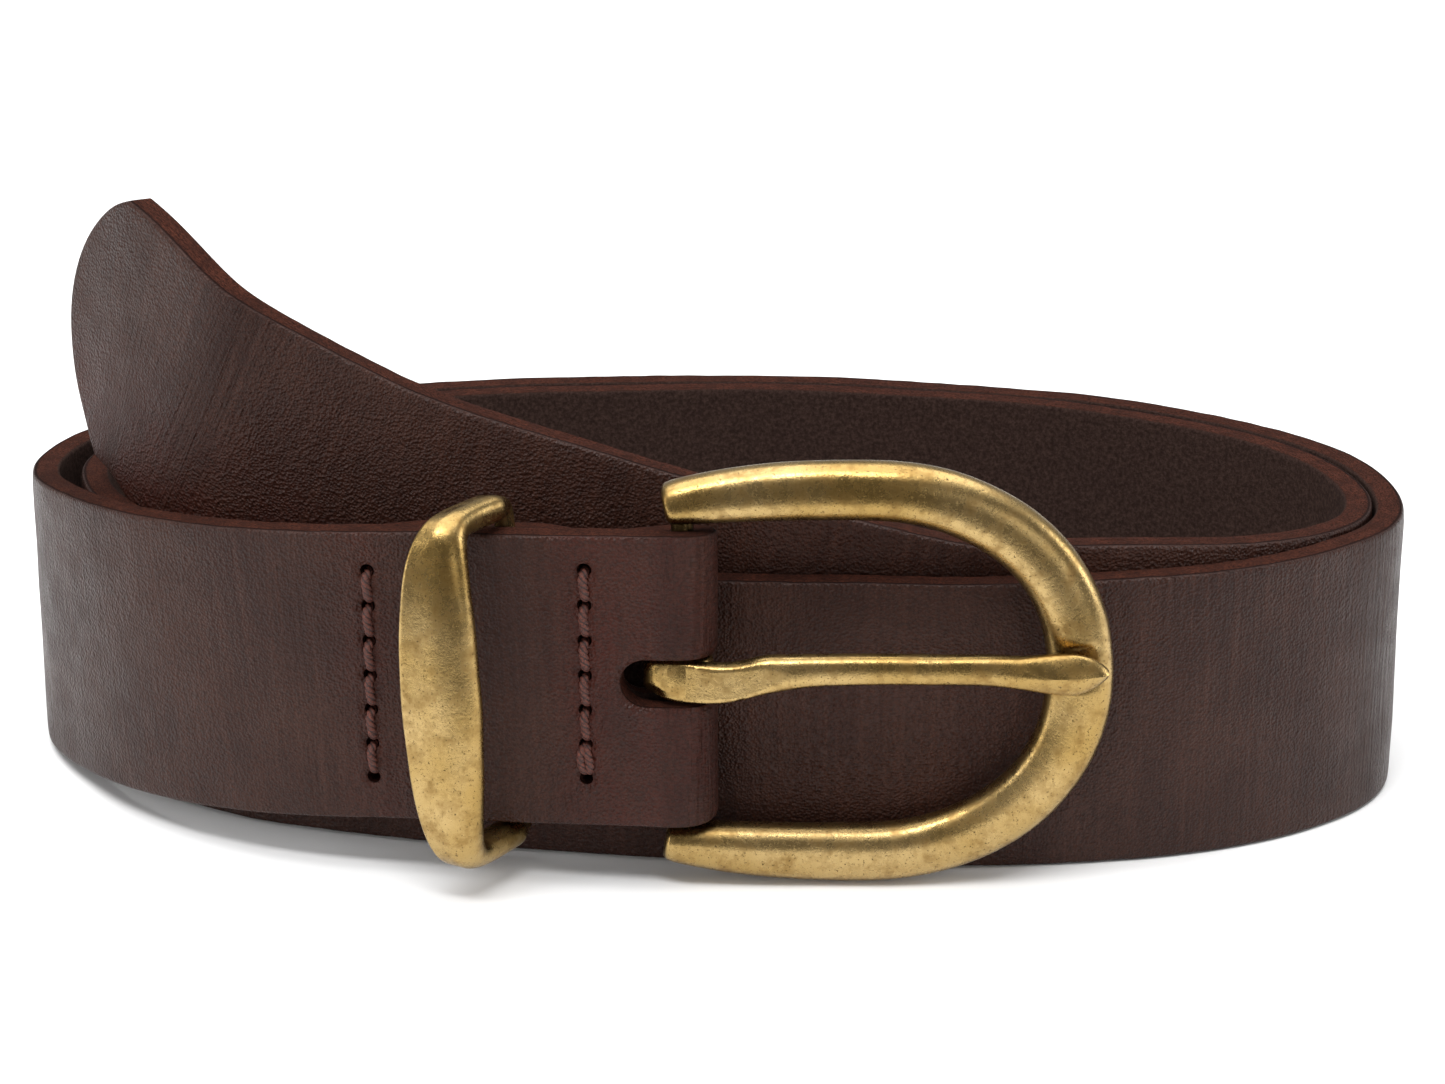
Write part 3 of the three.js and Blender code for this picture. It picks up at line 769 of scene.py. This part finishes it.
def rod(radius, half_length, rounding, sides=32):
    """A round rod on the buckle bar's axis, with rounded ends."""
    turns = np.radians([90, 60, 30, 0])
    inset = rounding * (1 - np.cos(turns))
    ends = half_length - rounding + rounding * np.sin(turns)
    heights = np.concatenate([-ends, ends[::-1]])
    radii = radius - np.concatenate([inset, inset[::-1]])
    angles = np.linspace(0, 2 * math.pi, sides, endpoint=False)
    circle = np.stack([np.cos(angles), np.sin(angles), 0 * angles], 1)
    rings = BAR + circle * radii[:, None, None] + heights[:, None, None] * np.array([0, 0, 1])
    return loft(rings[:, ::-1])


def make_buckle_bar():
    return new_object("buckle_bar_brass", *rod(BAR_RADIUS, BAR_HALF_LENGTH, 0.3), 50)


# [distance from the bar, distance in front of it, rise, half width, half thickness, leaf shape 0 to 1]
PRONG_SHANK = np.array([
    [-4.8, 1.1, 0, 1.4, 0.4, 0], [-4.4, 1.4, 0, 2.0, 0.75, 0], [-3.4, 2.0, 0, 2.45, 1.05, 0],
    [-1, 2.75, 0, 2.62, 1.25, 0], [4, 3.3, -0.05, 2.56, 1.65, 0], [7, 3.75, 0.4, 2.46, 1.8, 0],
    [10, 4.15, 1.3, 2.4, 1.82, 0], [13, 4.5, 1.8, 2.12, 1.78, 0], [16, 4.7, 2.1, 1.95, 1.7, 0],
    [21, 4.9, 2.35, 1.88, 1.68, 0], [27, 5, 2.4, 1.85, 1.66, 0], [33, 5.1, 2.42, 1.85, 1.64, 0],
    [38, 5.15, 2.3, 1.9, 1.62, 0], [41, 5.2, 2.05, 2.05, 1.6, 0.3], [43.5, 5.2, 1.88, 2.35, 1.6, 0.8],
    [46, 5.2, 1.78, 2.6, 1.6, 1], [48, 5.15, 1.75, 2.6, 1.5, 1], [49.8, 5.1, 1.78, 2.05, 1.35, 1],
    [51, 5.05, 1.8, 1.3, 1.1, 1], [51.7, 5, 1.8, 0.7, 0.8, 1], [52.0, 5, 1.8, 0.3, 0.5, 1],
])


# The hammered flat near the bar runs between two points; the heel is a small filed facet behind it.
FLAT_FROM = np.array([-2.6, -3.2, 0])
FLAT_TO = np.array([11.4, -6.0, 0])
FLAT_END = 13
HEEL_NORMAL = [-0.5, -0.62, -0.6]
HEEL_THROUGH = [-2.2, -3.05, -1.5]
PRONG_STEP = 0.22


def prong_section(half_width, half_thickness, leaf):
    outline = oval(40, 2.6)
    across, front = outline.T
    ridge = np.where(front > 0, front * lerp(1, 0.5 + 0.55 * (1 - np.abs(across)), leaf), front)
    return across * half_width, ridge * half_thickness


def filed(vertices, normal, through):
    """Everything beyond a plane is moved onto it, as a file or a hammer leaves a flat."""
    normal = unit(np.array(normal, float))
    beyond = np.maximum((vertices - through) @ normal, 0)
    return vertices - beyond[:, None] * normal


def prong_eye():
    """The ring round the bar, with its far side rounded off."""
    vertices, faces = rod(PRONG_EYE_RADIUS, PRONG_WIDTH / 2, 0.7, 64)
    beside, _, height = (vertices - BAR).T
    share = np.abs(height) / (PRONG_WIDTH / 2)
    far = np.where(beside < 0, 1.2 - 0.42 * share**3, 1)
    vertices[:, 0] = BAR[0] + beside * far
    return vertices, faces


def make_prong():
    table = PRONG_SHANK
    at = np.arange(table[0, 0], table[-1, 0] + 0.01, PRONG_STEP)
    curve = centripetal_curve(table, 24)
    rows = interpolate(at, curve[:, 0], curve[:, 1:])
    rings = []
    for x, (front, rise, half_width, half_thickness, leaf) in zip(at, rows):
        across, forward = prong_section(half_width, half_thickness, leaf)
        rings.append(np.stack([np.full(len(across), x), -front - forward, rise + across], 1))
    vertices, faces = loft(np.array(rings)[:, ::-1])
    slope = FLAT_TO - FLAT_FROM
    flattened = filed(vertices, [slope[1], -slope[0], 0], FLAT_FROM)
    vertices = np.where(vertices[:, :1] < FLAT_END, flattened, vertices)
    vertices = filed(vertices, HEEL_NORMAL, HEEL_THROUGH)
    vertices = worn(vertices, 0.04, 21)
    shank = new_object("prong_shank", vertices + BAR, faces)
    eye = new_object("prong_eye", *prong_eye())
    whole = finish_object("prong_whole", cut(shank, eye, "UNION"), 180)
    bore = new_object("prong_bore", *rod(BAR_RADIUS + 0.3, PRONG_WIDTH, 0.1))
    return finish_object("prong_brass", cut(whole, bore), 40)


# ---------------------------------------------------------------- keeper loop

KEEPER_STEPS = 260
LEFT_RIDGE, RIGHT_RIDGE = -0.19, -0.74  # where the front bar's two soft ridges lie across it
LEFT_SLOPE, RIGHT_SLOPE = 0.36, 1.1
KEEPER_SIDES = 48


def keeper_half_widths(front, height):
    """Half widths of the loop's section towards the tip's side and towards the buckle."""
    bulge = np.maximum(front, 0) ** 0.5
    room = np.maximum(1 - height**2, 0)
    slim = lerp(KEEPER_ARM_WIDTH, KEEPER_BACK_THICKNESS, smoothstep(-front, 0.5, 1))
    fuller = np.where(height > 0, 0.42, 0.65)
    return [lerp(slim, KEEPER_BAR_WIDTH, bulge * room**power) / 2 for power in (0.8, fuller)]


def keeper_half_thickness(front):
    front_half = lerp(KEEPER_ARM_THICKNESS, KEEPER_BAR_THICKNESS, front)
    back_half = lerp(KEEPER_ARM_THICKNESS, KEEPER_BACK_THICKNESS, smoothstep(-front, 0.5, 1))
    return np.where(front > 0, front_half, back_half) / 2


def make_keeper():
    """The loop's outline is a squared oval; `front` is 1 on the front bar and -1 on the back bar."""
    angles = np.linspace(0, 2 * math.pi, 4000, endpoint=False)
    power = np.where(np.cos(angles) > 0, 2 / KEEPER_SQUARENESS_FRONT, 2 / KEEPER_SQUARENESS_BACK)
    front = signed_power(np.cos(angles), power)
    height = signed_power(np.sin(angles), power)
    back_bar = -LEATHER / 2 - POCKET_GAP / 2
    front_bar = LEATHER / 2 + KEEPER_STANDOFF + KEEPER_BAR_THICKNESS / 2
    half_depth = (front_bar - back_bar) / 2
    half_height = (KEEPER_HEIGHT - KEEPER_ARM_THICKNESS) / 2
    line = np.stack([half_depth * (1 + front), half_height * height, front, height], 1)
    closed = np.vstack([line, line[:1]])
    lengths = lengths_along(closed[:, :2])
    at = np.linspace(0, lengths[-1], KEEPER_STEPS, endpoint=False)
    depth, rise, front, height = interpolate(at, lengths, closed).T
    line = np.stack([depth, rise], 1)
    tangent = unit(np.roll(line, -1, 0) - np.roll(line, 1, 0))
    normal = np.stack([tangent[:, 1], -tangent[:, 0]], 1)
    across, proud = oval(KEEPER_SIDES, 2.5).T
    left_facet = 1 - LEFT_SLOPE * np.maximum(across - LEFT_RIDGE, 0)
    right_facet = 1 - RIGHT_SLOPE * np.maximum(RIGHT_RIDGE - across, 0)
    facets = np.minimum(left_facet, right_facet)
    proud = np.minimum(proud, lerp(1, facets, np.maximum(front, 0)[:, None] ** 0.5))
    arm = (1 - np.abs(front)[:, None] ** 2) * (proud > 0)
    swell = proud * keeper_half_thickness(front)[:, None] * (1 + 0.25 * arm)
    far, near = keeper_half_widths(front, height)
    wide = across * np.where(across > 0, far[:, None], near[:, None])
    rack = math.tan(math.radians(KEEPER_RACK))
    deep = depth[:, None] + normal[:, :1] * swell
    tall = rise[:, None] + normal[:, 1:] * swell
    point, along, up, out = (v[0] for v in section(np.array([STRETCH_MARK + KEEPER_PLACE])))
    rings = (
        point
        + out * (back_bar + deep)[..., None]
        + up * (KEEPER_RISE + tall)[..., None]
        + along * (deep * rack + wide)[..., None]
    )
    vertices, faces = loft(rings[:, ::-1], closed_line=True)
    return new_object("keeper_loop_brass", worn(vertices, 0.04, 31), faces, 60)


# ---------------------------------------------------------------- materials


class Nodes:
    """Short names for building one material's node tree."""

    def __init__(self, name):
        self.material = bpy.data.materials.new(name)
        self.material.use_nodes = True
        self.tree = self.material.node_tree
        self.shader = self.tree.nodes["Principled BSDF"]

    def add(self, kind, inputs=None, **settings):
        node = self.tree.nodes.new("ShaderNode" + kind)
        for key, value in settings.items():
            setattr(node, key, value)
        for key, value in (inputs or {}).items():
            self.feed(node.inputs[key], value)
        return node

    def feed(self, socket, value):
        if isinstance(value, bpy.types.NodeSocket):
            self.tree.links.new(value, socket)
        else:
            socket.default_value = value

    def attribute(self, name):
        return self.add("Attribute", attribute_name=name)

    def noise(self, vector, scale, detail=3.0, roughness=0.55, distortion=0.0):
        node = self.add("TexNoise", {"Vector": vector, "Scale": scale, "Detail": detail})
        node.inputs["Roughness"].default_value = roughness
        node.inputs["Distortion"].default_value = distortion
        return node.outputs["Fac"]

    def cells(self, vector, scale, feature="F1", randomness=1.0):
        node = self.add("TexVoronoi", {"Vector": vector, "Scale": scale}, feature=feature)
        node.inputs["Randomness"].default_value = randomness
        return node.outputs["Distance"]

    def stretched(self, vector, x, y, z):
        node = self.add("Mapping", {"Vector": vector, "Scale": (x, y, z)})
        return node.outputs["Vector"]

    def between(self, value, low, high, to_low=0.0, to_high=1.0):
        node = self.add("MapRange", {"Value": value, "From Min": low, "From Max": high})
        node.interpolation_type = "SMOOTHSTEP"
        node.inputs["To Min"].default_value = to_low
        node.inputs["To Max"].default_value = to_high
        return node.outputs["Result"]

    def math(self, operation, a, b=0.5):
        node = self.add("Math", {0: a, 1: b}, operation=operation)
        return node.outputs[0]

    def mix(self, share, a, b):
        node = self.add("Mix", {0: share}, data_type="RGBA")
        self.feed(node.inputs[6], a)
        self.feed(node.inputs[7], b)
        return node.outputs[2]

    def mix_value(self, share, a, b):
        return self.add("Mix", {0: share, 2: a, 3: b}, data_type="FLOAT").outputs[0]

    def bump(self, height, strength, distance, normal=None):
        inputs = {"Height": height, "Strength": strength, "Distance": distance}
        if normal is not None:
            inputs["Normal"] = normal
        return self.add("Bump", inputs).outputs["Normal"]


def rgb(red, green, blue):
    """A colour given as it looks on a screen, from 0 to 255."""
    linear = [((c / 255 + 0.055) / 1.055) ** 2.4 if c > 10 else c / 255 / 12.92 for c in (red, green, blue)]
    return (*linear, 1.0)


def leather_material():
    n = Nodes("belt_leather")
    flat = n.attribute("flat").outputs["Vector"]
    bend = n.between(n.attribute("bend").outputs["Fac"], 0.008, 0.045)
    tint_and_shade = n.attribute("tint_and_shade").outputs["Fac"]
    depth = n.add("SeparateXYZ", {"Vector": flat}).outputs["Y"]
    grain = n.between(depth, GRAIN - 0.42, GRAIN - 0.12)
    flesh = n.between(depth, 0.45 - GRAIN, 0.1 - GRAIN)

    cloudy = n.noise(flat, 0.07, 4)
    streaks = n.noise(n.stretched(flat, 0.9, 1, 0.045), 1, 5, 0.6)
    patches = n.noise(n.stretched(flat, 0.25, 1, 0.12), 1, 3)
    dark = n.mix(n.between(cloudy, 0.3, 0.7), rgb(42, 21, 15), rgb(53, 30, 22))
    colour = n.mix(n.between(streaks, 0.4, 0.75, 0, 0.6), dark, rgb(63, 37, 28))
    # Darker red tint near the seams and the fold, and painted shade on the lower part of the tip, both
    # towards rgb(62, 21, 13).
    tint_and_shade_share = n.math("MULTIPLY", tint_and_shade, n.between(patches, 0.3, 0.65, 0.4, 1))
    colour = n.mix(n.math("MULTIPLY", tint_and_shade_share, 0.6), colour, rgb(62, 21, 13))
    pores = n.cells(flat, 2.6)
    colour = n.mix(n.between(pores, 0.4, 0.75, 0, 0.45), colour, rgb(30, 16, 12))

    fibres = n.noise(n.stretched(flat, 2.6, 6, 2.6), 1, 6, 0.72)
    clumps = n.noise(flat, 0.35, 3)
    raw = n.mix(n.between(fibres, 0.35, 0.68), rgb(38, 20, 16), rgb(104, 58, 43))
    raw = n.mix(n.between(clumps, 0.35, 0.65, 0, 0.5), raw, rgb(50, 28, 22))
    line = n.between(depth, GRAIN - 0.75, GRAIN - 0.45)
    raw = n.mix(n.math("MULTIPLY", line, 0.85), raw, rgb(26, 15, 13))
    flesh_noise = n.noise(flat, 1.7, 6, 0.75)
    flesh_colour = n.mix(n.between(flesh_noise, 0.35, 0.7), rgb(44, 30, 26), rgb(76, 57, 50))
    inner = n.mix(flesh, raw, flesh_colour)
    colour = n.mix(grain, inner, colour)

    creases = n.noise(n.stretched(flat, 1.7, 1, 0.06), 1, 6, 0.62, 0.25)
    fine = n.noise(n.stretched(flat, 4.2, 1, 0.45), 1, 3, 0.6)
    pebble = n.cells(flat, 2.7)
    shallow = n.bump(pebble, grain, 0.0002)
    crease_strength = n.math("MULTIPLY", grain, n.between(bend, 0, 1, 0.25, 1.0))
    creased = n.bump(creases, crease_strength, 0.0009, shallow)
    scuffed = n.bump(fine, n.math("MULTIPLY", grain, 0.45), 0.00006, creased)
    rough_cut = n.math("SUBTRACT", 1.0, grain)
    hairy = n.bump(n.math("ADD", fibres, flesh_noise), rough_cut, 0.0006, scuffed)

    polish = n.between(n.noise(flat, 0.22, 4), 0.3, 0.7, 0.3, 0.42)
    n.feed(n.shader.inputs["Base Color"], colour)
    n.feed(n.shader.inputs["Roughness"], n.mix_value(grain, 0.88, polish))
    n.feed(n.shader.inputs["Normal"], hairy)
    n.feed(n.shader.inputs["Specular IOR Level"], n.mix_value(grain, 0.08, 0.19))
    return n.material


def brass_material(name, painted_shade):
    """Antiqued brass; its second argument, from 0 to 1, darkens it with painted shade."""
    n = Nodes(name)
    place = n.add("TexCoord").outputs["Object"]
    broad = n.noise(place, 60, 4)
    mottled = n.noise(place, 420, 6, 0.7)
    fine = n.noise(place, 3400, 3, 0.6)
    specks = n.noise(place, 3000, 5, 0.68)
    colour = n.mix(n.between(broad, 0.35, 0.65), rgb(158, 130, 76), rgb(180, 154, 104))
    colour = n.mix(n.between(mottled, 0.45, 0.7, 0, 0.65), colour, rgb(122, 92, 48))
    stain = n.between(specks, 0.58, 0.68, 0, 0.85)
    colour = n.mix(stain, colour, rgb(46, 32, 18))
    # Painted shade: the colour is darkened towards rgb(30, 21, 14) by the second argument.
    colour = n.mix(painted_shade, colour, rgb(30, 21, 14))
    n.feed(n.shader.inputs["Base Color"], colour)
    roughness = n.between(mottled, 0.35, 0.7, 0.22, 0.36)
    roughness = n.mix_value(stain, roughness, 0.55)
    n.feed(n.shader.inputs["Roughness"], roughness)
    n.shader.inputs["Metallic"].default_value = 1.0
    waves = n.bump(mottled, 0.22, 0.0003)
    pits = n.bump(n.math("SUBTRACT", fine, stain), 0.22, 0.00008, waves)
    n.feed(n.shader.inputs["Normal"], pits)
    return n.material


def thread_material():
    n = Nodes("seam_thread")
    ply = n.attribute("ply").outputs["Vector"]
    lobe = n.add("SeparateXYZ", {"Vector": ply}).outputs["Y"]
    place = n.add("TexCoord").outputs["Object"]
    fibres = n.noise(place, 5200, 4, 0.7)
    colour = n.mix(n.between(fibres, 0.35, 0.7), rgb(40, 16, 11), rgb(108, 52, 36))
    # Painted shade: the grooves between the plies are darkened to rgb(22, 10, 9).
    colour = n.mix(n.between(lobe, 0.05, 0.6), rgb(22, 10, 9), colour)
    n.feed(n.shader.inputs["Base Color"], colour)
    n.feed(n.shader.inputs["Roughness"], n.between(fibres, 0.3, 0.7, 0.5, 0.75))
    n.feed(n.shader.inputs["Normal"], n.bump(fibres, 0.8, 0.00012))
    return n.material


def floor_material():
    n = Nodes("floor")
    place = n.add("TexCoord").outputs["Object"]
    n.feed(n.shader.inputs["Base Color"], n.mix(n.noise(place, 3), (0.9, 0.9, 0.9, 1), (0.93, 0.93, 0.93, 1)))
    n.shader.inputs["Roughness"].default_value = 0.6
    n.shader.inputs["Specular IOR Level"].default_value = 0.2
    return n.material


# ---------------------------------------------------------------- assembly


def place_piece(piece, body, slot, material, *nodes):
    piece.data.materials.clear()
    piece.data.materials.append(material)
    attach(piece, body)
    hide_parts(*nodes)


leather = leather_material()
brass = brass_material("antique_brass", 0.0)
# A copy of the brass darkened with painted shade, for the buckle bar, which sits in the shadow under the
# frame's arm.
shaded_bar_brass = brass_material("antique_brass_painted_shade", 0.8)
thread = thread_material()

place_piece(make_strap(), "strap", "strap_leather", leather, "strap")
place_piece(make_buckle_frame(), "buckle", "antique_brass", brass, "buckle_frame")
place_piece(make_buckle_bar(), "buckle", "antique_brass", shaded_bar_brass, "buckle_bar")
place_piece(make_prong(), "prong", "antique_brass", brass, "prong")
place_piece(make_keeper(), "keeper", "antique_brass", brass, "keeper_loop")
for seam_name in SEAMS:
    place_piece(make_seam(seam_name), "strap", "seam_thread", thread, f"seam_thread_{seam_name}")

# ---------------------------------------------------------------- stage, light and camera


FLOOR_HALF = 3.0
FLOOR_DROP = 0.0002
CARD_LEFT, CARD_RIGHT, CARD_FRONT, CARD_TOP = -0.2, 0.3, -0.12, 0.16


def make_floor():
    half = FLOOR_HALF
    mesh = bpy.data.meshes.new("floor")
    corners = [(-half, -half, 0), (half, -half, 0), (half, half, 0), (-half, half, 0)]
    mesh.from_pydata(corners, [], [(0, 1, 2, 3)])
    made = bpy.data.objects.new("floor", mesh)
    bpy.context.scene.collection.objects.link(made)
    made.data.materials.append(floor_material())
    made.location.z = -FLOOR_DROP


def make_dark_card():
    """A grey card between the belt and the camera that only shows in reflections."""
    mesh = bpy.data.meshes.new("dark_card")
    ends = ((CARD_LEFT, 0), (CARD_RIGHT, 0), (CARD_RIGHT, CARD_TOP), (CARD_LEFT, CARD_TOP))
    mesh.from_pydata([(x, CARD_FRONT, z) for x, z in ends], [], [(0, 1, 2, 3)])
    made = bpy.data.objects.new("dark_card", mesh)
    bpy.context.scene.collection.objects.link(made)
    n = Nodes("dark_card")
    n.shader.inputs["Base Color"].default_value = rgb(112, 108, 104)
    n.shader.inputs["Roughness"].default_value = 1.0
    made.data.materials.append(n.material)
    made.visible_camera = False
    made.visible_diffuse = False
    made.visible_shadow = False


def soft_light(name, place, target, size, power):
    light = bpy.data.lights.new(name, "AREA")
    light.shape = "RECTANGLE"
    light.size, light.size_y = size
    light.energy = power
    made = bpy.data.objects.new(name, light)
    made.location = place
    made.rotation_euler = (Vector(target) - Vector(place)).to_track_quat("-Z", "Y").to_euler()
    bpy.context.scene.collection.objects.link(made)


WORLD_STRENGTH = 0.4
# Name, place, what it points at, width and height, power.
LIGHTS = (
    ("overhead", (0, 0.15, 1.1), (0, 0, 0), (1.6, 1.2), 17),
    ("strip", (-0.15, -0.42, 0.8), (0, 0, 0.03), (0.7, 0.16), 5),
    ("front_right", (0.5, -0.85, 0.16), (0, 0, 0.03), (0.1, 0.3), 1.1),
    ("front_left", (-0.42, -0.85, 0.2), (0, 0, 0.03), (0.06, 0.3), 0.8),
    ("left", (-1.1, -0.4, 0.35), (0, 0, 0.03), (0.35, 0.7), 4),
    ("right", (1.2, 0, 0.4), (0, 0, 0.03), (0.5, 0.6), 4),
)
CAMERA_BACK = -473.7
CAMERA_HEIGHT = 193.6
CAMERA_PITCH = 19.29
CAMERA_LENS = 92.2


def make_camera():
    camera = bpy.data.cameras.new("camera")
    camera.lens = CAMERA_LENS
    camera.sensor_width = 36
    made = bpy.data.objects.new("camera", camera)
    made.location = np.array([ROUTE_ORIGIN[0], CAMERA_BACK + ROUTE_ORIGIN[1], CAMERA_HEIGHT]) * MM
    made.rotation_euler = (math.radians(90 - CAMERA_PITCH), 0, 0)
    bpy.context.scene.collection.objects.link(made)
    bpy.context.scene.camera = made


def make_world(strength):
    world = bpy.data.worlds.new("studio")
    bpy.context.scene.world = world
    world.use_nodes = True
    background = world.node_tree.nodes["Background"]
    background.inputs["Color"].default_value = (1, 1, 1, 1)
    background.inputs["Strength"].default_value = strength


make_floor()
make_dark_card()
make_camera()
make_world(WORLD_STRENGTH)
for light in LIGHTS:
    soft_light(*light)
bpy.context.scene.view_settings.view_transform = "Standard"
